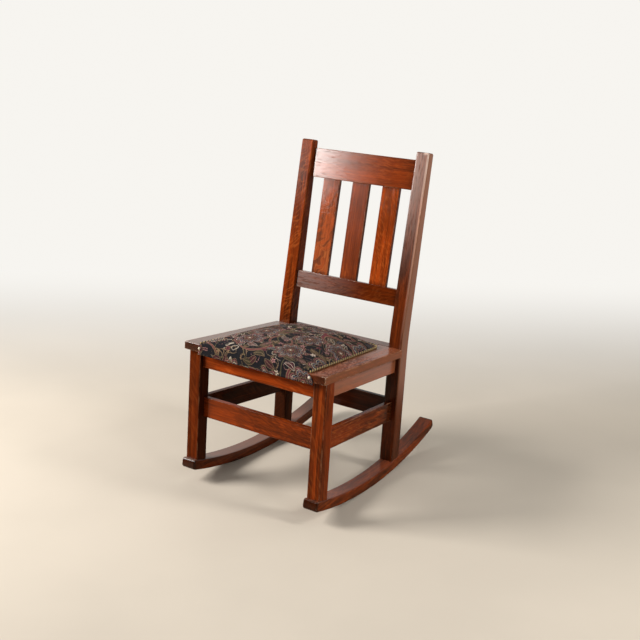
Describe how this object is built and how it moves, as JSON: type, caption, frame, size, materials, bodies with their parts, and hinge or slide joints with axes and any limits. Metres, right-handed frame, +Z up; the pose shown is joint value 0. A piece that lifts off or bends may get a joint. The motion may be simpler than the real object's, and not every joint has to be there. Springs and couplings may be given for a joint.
{
  "type": "sewing rocking chair",
  "caption": "Armless oak sewing rocker: slatted back between bent rear posts, upholstered seat with a wooden border, flat stretchers and curved runners.",
  "frame": {"origin": "on the floor, under the middle of the chair's bounding box, with the chair at rest on its runners", "axes": "+Z up; -Y is the front of the chair; +X is the right side as seen by someone facing the chair's front"},
  "size_m": [0.4438, 0.618, 0.861],
  "materials": {
    "fumed_oak": "satin",
    "block_wood": "matte",
    "tapestry": "matte",
    "gimp": "matte",
    "stuffing": "matte",
    "hessian": "matte",
    "jute": "matte",
    "ivory_nail": "satin",
    "screw_steel": "satin"
  },
  "bodies": {
    "root": {"front_leg_left": "fumed_oak", "front_leg_right": "fumed_oak", "rear_post_left": "fumed_oak", "rear_post_right": "fumed_oak", "rocker_left": "fumed_oak", "rocker_right": "fumed_oak", "front_seat_rail": "fumed_oak", "rear_seat_rail": "fumed_oak", "left_seat_rail": "fumed_oak", "right_seat_rail": "fumed_oak", "front_stretcher": "fumed_oak", "rear_stretcher": "fumed_oak", "left_stretcher": "fumed_oak", "right_stretcher": "fumed_oak", "crest_rail": "fumed_oak", "lower_back_rail": "fumed_oak", "back_slat_left": "fumed_oak", "back_slat_middle": "fumed_oak", "back_slat_right": "fumed_oak", "seat_board_left": "fumed_oak", "seat_board_right": "fumed_oak", "seat_board_rear": "fumed_oak", "seat_board_front": "fumed_oak", "corner_block_front_left": "block_wood", "corner_block_front_right": "block_wood", "corner_block_rear_left": "block_wood", "corner_block_rear_right": "block_wood", "block_screw_front_left": "screw_steel", "block_screw_front_right": "screw_steel", "block_screw_rear_left": "screw_steel", "block_screw_rear_right": "screw_steel", "rocker_screw_front_leg_left": "screw_steel", "rocker_screw_front_leg_right": "screw_steel", "rocker_screw_rear_post_left": "screw_steel", "rocker_screw_rear_post_right": "screw_steel", "webbing_long_1": "jute", "webbing_long_2": "jute", "webbing_long_3": "jute", "webbing_cross_1": "jute", "webbing_cross_2": "jute", "webbing_cross_3": "jute", "hessian": "hessian", "seat_stuffing": "stuffing", "seat_cover": "tapestry", "gimp_cord": "gimp", "cover_nail_left": "ivory_nail", "cover_nail_right": "ivory_nail"}
  },
  "joints": []
}
